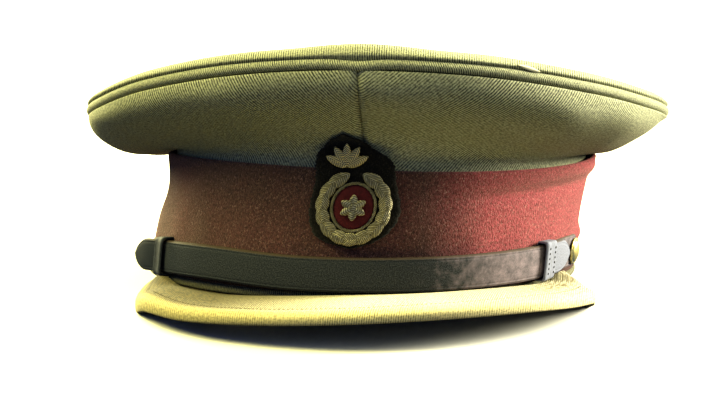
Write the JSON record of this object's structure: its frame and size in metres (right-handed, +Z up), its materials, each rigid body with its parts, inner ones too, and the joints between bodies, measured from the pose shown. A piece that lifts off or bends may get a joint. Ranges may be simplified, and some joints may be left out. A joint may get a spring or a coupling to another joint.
{
  "type": "peaked cap",
  "caption": "Khaki twill peaked cap with a corded rim, red felt band, leather chin strap, gilt buttons and a bullion badge, resting on its peak and band.",
  "frame": {"origin": "middle of the cap's bounding box on the table it rests on", "axes": "+Z up from the table, -Y towards the peak's front, +X to the viewer's right"},
  "size_m": [0.241, 0.279, 0.1062],
  "materials": {
    "khaki_twill": "ribbed wool twill",
    "red_felt": "milled wool felt",
    "dark_felt": "milled wool felt",
    "velvet": "velvet pile",
    "bullion": "coiled gilt wire",
    "strap_leather": "worn, waxed",
    "button_gilt": "polished gilt"
  },
  "bodies": {
    "root": {"crown_top": "khaki_twill", "rim_piping": "khaki_twill", "quarter_front_left": "khaki_twill", "quarter_front_right": "khaki_twill", "quarter_back_left": "khaki_twill", "quarter_back_right": "khaki_twill", "band": "red_felt", "band_welt": "khaki_twill", "peak": "khaki_twill", "badge_patch": "dark_felt", "badge_wreath": "bullion", "badge_velvet": "velvet", "badge_rosette": "bullion", "badge_palmette": "bullion", "strap_front": "strap_leather", "strap_back": "strap_leather", "keeper_left": "strap_leather", "keeper_right": "strap_leather", "button_left": "button_gilt", "button_right": "button_gilt"}
  },
  "joints": []
}
